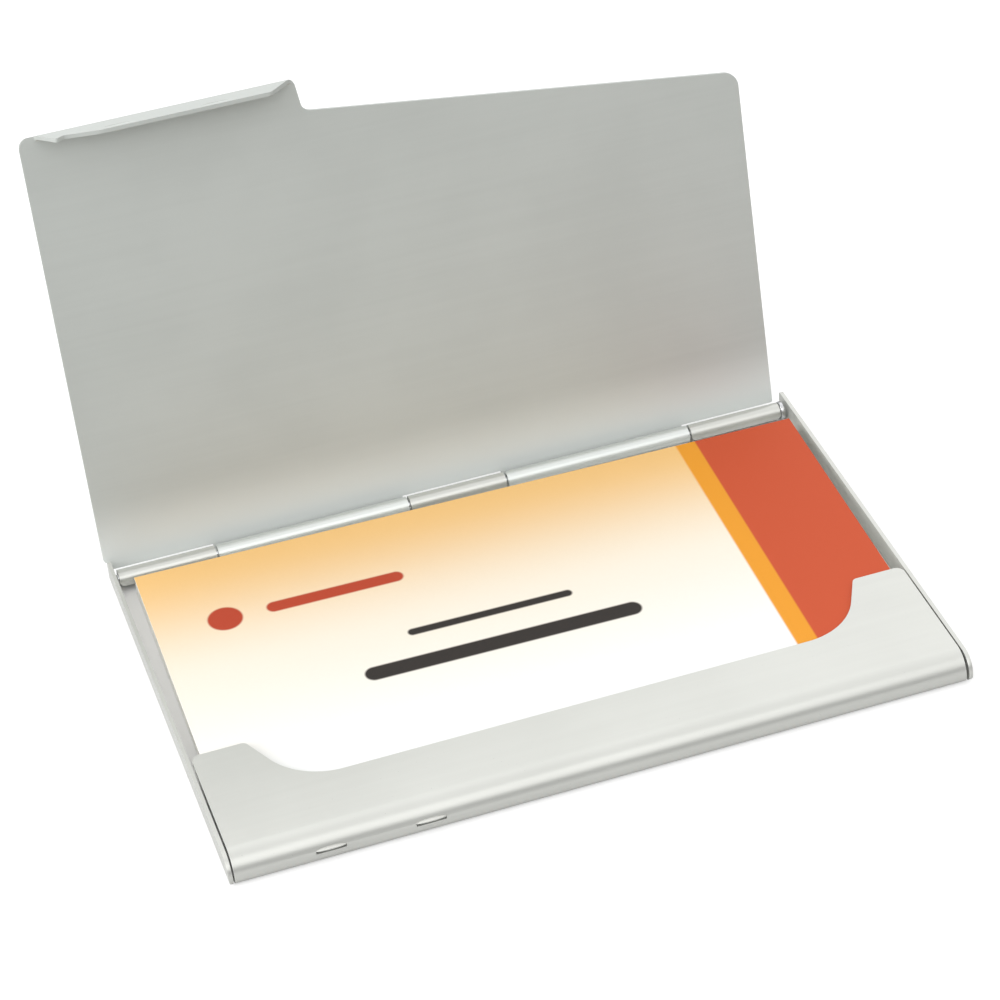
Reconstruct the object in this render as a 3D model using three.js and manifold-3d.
// A slim metal business card case: a folded base tray with a front pocket panel, a folded lid
// with a snap lip, a headed hinge pin that joins their rolled knuckles, and a stack of cards.
// Millimetres, +Z up. The origin is the centre of the base's underside, +X runs along the
// hinge and -Y points to the front. The lid is drawn in its open position.

import * as THREE from 'three';
import { mergeVertices } from 'three/addons/utils/BufferGeometryUtils.js';
import Module from 'manifold-3d';

const wasm = await Module();
wasm.setup();

// ---- driving dimensions ----

const SHEET = 0.5;                  // thickness of the aluminium sheet
const CASE_WIDTH = 94;              // over the side walls
const FRONT_Y = -29.6;              // front face of the base
const WALL_BACK_Y = 30.55;          // back ends of the side walls
const WALL_TOP = 3.5;
const PANEL_TOP = 3.83;             // top face of the pocket panel
const FRONT_TOP_RADIUS = 2.8;       // outer radii of the base's bends
const BOTTOM_RADIUS = 0.9;
const WALL_BACK_RADIUS = 0.35;      // upper back corner of a side wall, the lid's open stop
const SEAM_LEFT = 0.2;              // slits between the pocket panel and the side walls
const SEAM_RIGHT = 0.35;

const CLOSED_HEIGHT = 4.46;         // over the closed lid
const HINGE_Y = 28.5;               // hinge axis
const HINGE_Z = 1.98;
const OPEN_ANGLE = 103.5;           // degrees from closed to the open stop
const PIN_RADIUS = 0.55;
const PIN_CLEARANCE = 0.1;          // round the pin, inside the knuckles
const PIN_LEFT = -46.4;
const PIN_HEAD_X = 45.57;           // underside of the pin's head, beside the last knuckle
const PIN_HEAD_RADIUS = 1.2;
const PIN_HEAD_LENGTH = 0.55;
const PIN_CROWN = 0.15;             // chamfer at both ends of the pin

const KNUCKLE_STEPS = [-46.25, -33, -6.9, 6.6, 32.5, 45.6];
const KNUCKLE_GAP = 0.3;
const KNUCKLE_BEND_RADIUS = 0.65;   // centre line of the bend that leads into a knuckle
const KNUCKLE_CLEARANCE = 0.35;     // in front of the lid's knuckles, in the base's floor
const FREE_EDGE_Z = 1.47;           // front edge of the base's knuckles
const FREE_CORNER = 0.65;
const LID_ROLL_TURN = 215;          // degrees of the lid's sheet wrapped round the pin

const PANEL_BACK_Y = -10.2;         // back edge of the pocket panel, beside the thumb scoop
const PANEL_CORNER = 1.1;
const SCOOP_Y = -19.05;             // back edge of the pocket panel, in the scoop
const SCOOP_TOP_HALF_WIDTH = 39.55; // the scoop's flanks lean outwards
const SCOOP_FLOOR_HALF_WIDTH = 35.2;
const SCOOP_RADIUS = 8.7;
const SCOOP_CORNER = 0.7;

const CATCH_X = [-34.55, -22.3];    // the two louvres that hold the closed lip
const CATCH_LENGTH = 3.7;
const CATCH_Z = 1.9;                // lower edge of a louvre, upper edge of its slot
const CATCH_SLOT = 0.45;
const CATCH_RISE = 0.24;
const CATCH_BULGE = 0.24;
const DIMPLE_X = [-35.2, -22.95];   // the lip's dimples, a little left of the louvres
const DIMPLE_Z = 0.95;              // in the closed case
const DIMPLE_HALF_LENGTH = 2;
const DIMPLE_HALF_HEIGHT = 0.42;

const LID_LEFT = -47.3;
const LID_RIGHT = 45.55;
const LID_END = 0.55;               // from the hinge axis to the flat's back edge
const NOTCH_RIGHT = -46.35;         // corner notch that clears the left side wall
const NOTCH_REACH = 1.6;
const LIP_REACH = 59.67;            // hinge axis to the outer face of the lip
const LIP_DEPTH = 4.2;              // from the lid's outer face to the lip's free edge
const LIP_BEND_RADIUS = 1;
const TAB_RIGHT = -11.95;           // right side of the tab that carries the lip
const EDGE_LEFT_REACH = 55.2;       // hinge axis to the slanted edge, beside the tab
const EDGE_RIGHT_REACH = 47.42;     // and at the lid's right side

const CARD_WIDTH = 90;
const CARD_DEPTH = 50;
const CARD_THICKNESS = 0.36;
const CARD_GAP = 0.03;
const CARD_COUNT = 7;
const CARD_X = 0.15;                // the top card lies a little askew, towards the hinge
const CARD_Y = 0.6;
const CARD_TWIST = -1;              // degrees

// ---- derived sizes ----

const HALF_SHEET = SHEET / 2;
const HALF_WIDTH = CASE_WIDTH / 2;
const INNER_HALF_WIDTH = HALF_WIDTH - SHEET;
const FLOOR_EDGE = HALF_WIDTH - BOTTOM_RADIUS;   // where the flat floor meets the wall bends
const PANEL_LEFT = -INNER_HALF_WIDTH + SEAM_LEFT;
const PANEL_RIGHT = INNER_HALF_WIDTH - SEAM_RIGHT;
const ROLL_RADIUS = PIN_RADIUS + PIN_CLEARANCE + HALF_SHEET;
const KNUCKLE_BEND_Y = ROLL_RADIUS - KNUCKLE_BEND_RADIUS;   // behind the axis
const LID_TOP = CLOSED_HEIGHT - HINGE_Z;         // above the axis in the closed case
const LID_Z = LID_TOP - HALF_SHEET;
const OPEN = THREE.MathUtils.degToRad(OPEN_ANGLE);
const BEND_STEP = 9;                // degrees between the facets of a bend
const FAR = 10;                     // how far cutting solids reach past the work

// ---- materials ----

const aluminium = { color: 0xd6d7d3, roughness: 0.38, metalness: 0.9 };
const steel = { color: 0xc9cacc, roughness: 0.22, metalness: 1 };
const cardFace = { color: 0xf3c98a, roughness: 0.55, metalness: 0 };
const cardPlain = { color: 0xf4f1ea, roughness: 0.7, metalness: 0 };

// ---- solids ----

function toSolid(geometry) {
  const bare = geometry.index ? geometry.toNonIndexed() : geometry.clone();
  bare.deleteAttribute('normal');
  bare.deleteAttribute('uv');
  const merged = mergeVertices(bare, 1e-5);
  return new wasm.Manifold(new wasm.Mesh({
    numProp: 3,
    vertProperties: new Float32Array(merged.attributes.position.array),
    triVerts: new Uint32Array(merged.index.array),
  }));
}

function toGeometry(solid) {
  const mesh = solid.getMesh();
  const geometry = new THREE.BufferGeometry();
  geometry.setAttribute('position', new THREE.BufferAttribute(new Float32Array(mesh.vertProperties), 3));
  geometry.setIndex(new THREE.BufferAttribute(new Uint32Array(mesh.triVerts), 1));
  geometry.computeVertexNormals();
  return geometry;
}

function extrude(shape, length, basis, offset) {
  const geometry = new THREE.ExtrudeGeometry(shape, { depth: length, bevelEnabled: false, curveSegments: 10 });
  geometry.applyMatrix4(basis);
  geometry.translate(...offset);
  return toSolid(geometry);
}

const X_AXIS = new THREE.Vector3(1, 0, 0);
const Y_AXIS = new THREE.Vector3(0, 1, 0);
const Z_AXIS = new THREE.Vector3(0, 0, 1);

// A shape drawn in (y, z), swept from x0 to x1.
function alongX(shape, x0, x1) {
  const basis = new THREE.Matrix4().makeBasis(Y_AXIS, Z_AXIS, X_AXIS);
  return extrude(shape, x1 - x0, basis, [x0, 0, 0]);
}

// A shape drawn in (x, z), swept from y0 to y1.
function alongY(shape, y0, y1) {
  const basis = new THREE.Matrix4().makeBasis(X_AXIS, Z_AXIS, Y_AXIS.clone().negate());
  return extrude(shape, y1 - y0, basis, [0, y1, 0]);
}

// A shape drawn in (x, y), swept from z0 to z1.
function alongZ(shape, z0, z1) {
  return extrude(shape, z1 - z0, new THREE.Matrix4(), [0, 0, z0]);
}

function box(low, high) {
  const size = high.map((value, i) => value - low[i]);
  const geometry = new THREE.BoxGeometry(...size);
  geometry.translate(...low.map((value, i) => value + size[i] / 2));
  return toSolid(geometry);
}

function ellipsoid(centre, semiAxes) {
  const geometry = new THREE.SphereGeometry(1, 24, 12);
  geometry.scale(...semiAxes);
  geometry.translate(...centre);
  return toSolid(geometry);
}

// ---- folded sheet ----

// Walks the centre line of a folded sheet and returns the outline of its section. A step is
// { run } for a flat, or { turn, radius } for a bend, counter-clockwise turns positive.
function sheetSection(start, heading, steps) {
  let [u, v] = start;
  let angle = THREE.MathUtils.degToRad(heading);
  const left = [];
  const right = [];
  const mark = () => {
    const nu = -Math.sin(angle) * HALF_SHEET;
    const nv = Math.cos(angle) * HALF_SHEET;
    left.push(new THREE.Vector2(u + nu, v + nv));
    right.push(new THREE.Vector2(u - nu, v - nv));
  };
  mark();
  for (const { run, turn, radius } of steps) {
    if (run) {
      u += run * Math.cos(angle);
      v += run * Math.sin(angle);
      mark();
      continue;
    }
    const side = Math.sign(turn);
    const centreU = u - side * radius * Math.sin(angle);
    const centreV = v + side * radius * Math.cos(angle);
    const count = Math.ceil(Math.abs(turn) / BEND_STEP);
    for (let i = 0; i < count; i += 1) {
      angle += THREE.MathUtils.degToRad(turn) / count;
      u = centreU + side * radius * Math.sin(angle);
      v = centreV - side * radius * Math.cos(angle);
      mark();
    }
  }
  return new THREE.Shape([...left, ...right.reverse()]);
}

// A closed outline through corner points [x, y, radius], each corner rounded by its radius.
function roundedOutline(corners) {
  const points = corners.map(([x, y]) => new THREE.Vector2(x, y));
  const shape = new THREE.Shape();
  corners.forEach(([, , radius], i) => {
    const here = points[i];
    const before = points[(i + points.length - 1) % points.length].clone().sub(here).normalize();
    const after = points[(i + 1) % points.length].clone().sub(here).normalize();
    const half = Math.acos(THREE.MathUtils.clamp(before.dot(after), -1, 1)) / 2;
    const reach = radius / Math.tan(half);
    const from = here.clone().addScaledVector(before, reach);
    const to = here.clone().addScaledVector(after, reach);
    const centre = here.clone().add(before.add(after).normalize().multiplyScalar(radius / Math.sin(half)));
    if (i === 0) {
      shape.moveTo(from.x, from.y);
    } else {
      shape.lineTo(from.x, from.y);
    }
    if (radius > 0) {
      const a0 = Math.atan2(from.y - centre.y, from.x - centre.x);
      const a1 = Math.atan2(to.y - centre.y, to.x - centre.x);
      const clockwise = Math.sin(a1 - a0) < 0;
      shape.absarc(centre.x, centre.y, radius, a0, a1, clockwise);
    }
  });
  shape.closePath();
  return shape;
}

// Knuckle spans along the hinge: the base has the ones of parity 0, the lid those of parity 1.
function knuckleSpans(parity) {
  const spans = [];
  for (let i = parity; i < KNUCKLE_STEPS.length - 1; i += 2) {
    spans.push([KNUCKLE_STEPS[i] + KNUCKLE_GAP / 2, KNUCKLE_STEPS[i + 1] - KNUCKLE_GAP / 2]);
  }
  return spans;
}

// ---- base ----

function baseTray() {
  const wallRun = WALL_TOP - BOTTOM_RADIUS;
  const bend = { turn: 90, radius: BOTTOM_RADIUS - HALF_SHEET };
  const section = sheetSection([-HALF_WIDTH + HALF_SHEET, WALL_TOP], -90, [
    { run: wallRun },
    bend,
    { run: CASE_WIDTH - 2 * BOTTOM_RADIUS },
    bend,
    { run: wallRun },
  ]);
  const side = roundedOutline([
    [FRONT_Y, 0, BOTTOM_RADIUS],
    [WALL_BACK_Y, 0, BOTTOM_RADIUS],
    [WALL_BACK_Y, WALL_TOP, WALL_BACK_RADIUS],
    [FRONT_Y, WALL_TOP, FRONT_TOP_RADIUS - (PANEL_TOP - WALL_TOP)],
  ]);
  const tray = alongY(section, FRONT_Y - 1, WALL_BACK_Y + 1);
  return tray.intersect(alongX(side, -HALF_WIDTH - 1, HALF_WIDTH + 1));
}

function pocketPanel() {
  const section = sheetSection([0, PANEL_TOP - HALF_SHEET], 180, [
    { run: -FRONT_Y - FRONT_TOP_RADIUS },
    { turn: 90, radius: FRONT_TOP_RADIUS - HALF_SHEET },
    { run: PANEL_TOP - FRONT_TOP_RADIUS - BOTTOM_RADIUS },
    { turn: 90, radius: BOTTOM_RADIUS - HALF_SHEET },
    { run: 4 },
  ]);
  const outline = roundedOutline([
    [PANEL_LEFT, FRONT_Y - FAR, 0],
    [PANEL_RIGHT, FRONT_Y - FAR, 0],
    [PANEL_RIGHT, PANEL_BACK_Y, PANEL_CORNER],
    [SCOOP_TOP_HALF_WIDTH, PANEL_BACK_Y, SCOOP_CORNER],
    [SCOOP_FLOOR_HALF_WIDTH, SCOOP_Y, SCOOP_RADIUS],
    [-SCOOP_FLOOR_HALF_WIDTH, SCOOP_Y, SCOOP_RADIUS],
    [-SCOOP_TOP_HALF_WIDTH, PANEL_BACK_Y, SCOOP_CORNER],
    [PANEL_LEFT, PANEL_BACK_Y, PANEL_CORNER],
  ]);
  return alongX(section, PANEL_LEFT, PANEL_RIGHT).intersect(alongZ(outline, -1, FAR));
}

// The floor's sheet rises behind the pin, rolls forwards over it and ends in a free edge in
// front of it, whose two corners are rounded.
function baseKnuckle([x0, x1]) {
  const overlap = 1;
  const section = sheetSection([HINGE_Y + KNUCKLE_BEND_Y - overlap, HALF_SHEET], 0, [
    { run: overlap },
    { turn: 90, radius: KNUCKLE_BEND_RADIUS },
    { run: HINGE_Z - HALF_SHEET - KNUCKLE_BEND_RADIUS },
    { turn: 180, radius: ROLL_RADIUS },
    { run: HINGE_Z - FREE_EDGE_Z },
  ]);
  const front = HINGE_Y - ROLL_RADIUS - SHEET;
  const inside = HINGE_Y - PIN_RADIUS;
  const edge = roundedOutline([
    [x0, FREE_EDGE_Z, FREE_CORNER],
    [x1, FREE_EDGE_Z, FREE_CORNER],
    [x1, FAR, 0],
    [x0, FAR, 0],
  ]);
  const corners = box([x0 - 1, front, FREE_EDGE_Z - 0.1], [x1 + 1, inside, FREE_EDGE_Z + FREE_CORNER])
    .subtract(alongY(edge, front - 1, inside + 1));
  return alongX(section, x0, x1).subtract(corners);
}

// A louvre pressed out of the front face, over the slot it was cut from.
function cutCatch(base, x) {
  const half = CATCH_LENGTH / 2;
  const root = 0.05;
  const louvre = ellipsoid([x, FRONT_Y + root, CATCH_Z], [half, CATCH_BULGE + root, CATCH_RISE]);
  const slot = box([x - half, FRONT_Y - 1, CATCH_Z - CATCH_SLOT], [x + half, FRONT_Y + SHEET + 0.3, CATCH_Z]);
  return base.add(louvre).subtract(slot);
}

function makeBase() {
  let base = baseTray().add(pocketPanel());
  const back = HINGE_Y + KNUCKLE_BEND_Y;
  base = base.subtract(box([-FLOOR_EDGE, back, -1], [FLOOR_EDGE, WALL_BACK_Y + 1, FAR]));
  for (const [x0, x1] of knuckleSpans(1)) {
    const front = HINGE_Y - ROLL_RADIUS - HALF_SHEET - KNUCKLE_CLEARANCE;
    base = base.subtract(box([x0 - KNUCKLE_GAP, front, -1], [x1 + KNUCKLE_GAP, back + 1, FAR]));
  }
  for (const span of knuckleSpans(0)) {
    base = base.add(baseKnuckle(span));
  }
  for (const [x0, x1] of [[-INNER_HALF_WIDTH, PANEL_LEFT], [PANEL_RIGHT, INNER_HALF_WIDTH]]) {
    base = base.subtract(box([x0, FRONT_Y - 1, -1], [x1, FRONT_Y + BOTTOM_RADIUS, FAR]));
  }
  return CATCH_X.reduce(cutCatch, base);
}

// ---- lid, drawn closed, with the hinge axis at the origin ----

function lidSheet() {
  const lipBend = LIP_BEND_RADIUS - HALF_SHEET;
  const flat = sheetSection([-LID_END, LID_Z], 180, [
    { run: LIP_REACH - LIP_BEND_RADIUS - LID_END },
    { turn: 90, radius: lipBend },
    { run: LIP_DEPTH - LIP_BEND_RADIUS },
  ]);
  const slope = (EDGE_LEFT_REACH - EDGE_RIGHT_REACH) / (LID_RIGHT - TAB_RIGHT);
  const outline = roundedOutline([
    [LID_LEFT, -NOTCH_REACH, 0.5],
    [LID_LEFT, -LIP_REACH, 1.7],
    [TAB_RIGHT - 0.4, -LIP_REACH, 1.2],
    [TAB_RIGHT + 0.2, -EDGE_LEFT_REACH + slope * 0.2, 1.3],
    [LID_RIGHT, -EDGE_RIGHT_REACH, 2.1],
    [LID_RIGHT, -LID_END, 0.3],
    [NOTCH_RIGHT, -LID_END, 0.2],
    [NOTCH_RIGHT, -NOTCH_REACH, 0.2],
  ]);
  return alongX(flat, LID_LEFT, LID_RIGHT).intersect(alongZ(outline, -FAR, FAR));
}

// The lip tapers from the bend to its free edge, which is shallower at its left end.
function lipOutline() {
  const top = LID_TOP + 1;
  const root = LID_TOP - 0.5;
  const free = LID_TOP - LIP_DEPTH;
  return roundedOutline([
    [LID_LEFT - 1, top, 0],
    [LID_LEFT - 1, root, 0],
    [-45.2, root, 0.4],
    [-43, free + 0.3, 0.35],
    [-42, free + 1.1, 0.1],
    [-37.6, free, 3],
    [-16, free, 0.9],
    [-12.7, root, 0.4],
    [TAB_RIGHT + 2, root, 0],
    [TAB_RIGHT + 2, top, 0],
  ]);
}

// The lid's sheet turns down behind the pin, passes under it and rolls up in front and over it.
function lidKnuckle([x0, x1]) {
  const overlap = 1.4;
  const section = sheetSection([KNUCKLE_BEND_Y - overlap, LID_Z], 0, [
    { run: overlap },
    { turn: -90, radius: KNUCKLE_BEND_RADIUS },
    { run: LID_Z - KNUCKLE_BEND_RADIUS },
    { turn: -LID_ROLL_TURN, radius: ROLL_RADIUS },
  ]);
  return alongX(section, x0, x1);
}

// A dimple bulges from the lip's inner face and leaves a recess in its outer face.
function pressDimple(lid, x) {
  const z = DIMPLE_Z - HINGE_Z;
  const root = 0.05;
  const wall = 0.08;
  const inner = -LIP_REACH + SHEET;
  const bulge = [DIMPLE_HALF_LENGTH, CATCH_BULGE + root, DIMPLE_HALF_HEIGHT];
  const recess = [DIMPLE_HALF_LENGTH - wall, CATCH_BULGE - wall, DIMPLE_HALF_HEIGHT - wall];
  return lid.add(ellipsoid([x, inner - root, z], bulge)).subtract(ellipsoid([x, -LIP_REACH, z], recess));
}

function makeLid() {
  const lipRegion = box([LID_LEFT - 1, -LIP_REACH - 1, -FAR], [TAB_RIGHT + 2, -LIP_REACH + 1.2, FAR]);
  const lipKeep = alongY(lipOutline(), -LIP_REACH - 1, -LIP_REACH + 1.2);
  let lid = lidSheet().subtract(lipRegion.subtract(lipKeep));
  for (const span of knuckleSpans(1)) {
    lid = lid.add(lidKnuckle(span));
  }
  return DIMPLE_X.reduce(pressDimple, lid);
}

// ---- hinge pin, turned about its own length ----

function makePin() {
  const headEnd = PIN_HEAD_X + PIN_HEAD_LENGTH;
  const profile = [
    new THREE.Vector2(0, PIN_LEFT),
    new THREE.Vector2(PIN_RADIUS - PIN_CROWN, PIN_LEFT),
    new THREE.Vector2(PIN_RADIUS, PIN_LEFT + PIN_CROWN),
    new THREE.Vector2(PIN_RADIUS, PIN_HEAD_X),
    new THREE.Vector2(PIN_HEAD_RADIUS, PIN_HEAD_X),
    new THREE.Vector2(PIN_HEAD_RADIUS, headEnd - PIN_CROWN),
    new THREE.Vector2(PIN_HEAD_RADIUS - PIN_CROWN, headEnd),
    new THREE.Vector2(0, headEnd),
  ];
  const geometry = new THREE.LatheGeometry(profile, 24);
  geometry.rotateZ(-Math.PI / 2);
  return toSolid(geometry);
}

// ---- assembly ----

const cardCase = new THREE.Group();

function place(name, geometry, look) {
  const mesh = new THREE.Mesh(geometry, new THREE.MeshStandardMaterial(look));
  mesh.name = name;
  cardCase.add(mesh);
  return mesh;
}

place('case_base', toGeometry(makeBase()), aluminium);

const lid = place('case_lid', toGeometry(makeLid()), aluminium);
lid.position.set(0, HINGE_Y, HINGE_Z);
lid.rotation.x = -OPEN;

const pin = place('hinge_pin', toGeometry(makePin()), steel);
pin.position.set(0, HINGE_Y, HINGE_Z);

// The cards lie on the floor as one stack, with the top one turned a little off the others.
for (let i = 1; i <= CARD_COUNT; i += 1) {
  const fromTop = CARD_COUNT - i;
  const under = fromTop > 0 ? 1 : 0;
  const geometry = new THREE.BoxGeometry(CARD_WIDTH, CARD_DEPTH, CARD_THICKNESS);
  const card = place(`card_${i}`, geometry, under ? cardPlain : cardFace);
  const twist = CARD_TWIST + under * (0.22 + 0.05 * Math.sin(2.1 * fromTop));
  card.position.x = CARD_X + under * (0.14 + 0.04 * Math.sin(1.7 * fromTop));
  card.position.y = CARD_Y + under * (0.1 + 0.04 * Math.sin(2.3 * fromTop));
  card.position.z = SHEET + CARD_GAP + CARD_THICKNESS / 2 + (i - 1) * (CARD_THICKNESS + CARD_GAP);
  card.rotation.z = THREE.MathUtils.degToRad(twist);
}

export default cardCase;
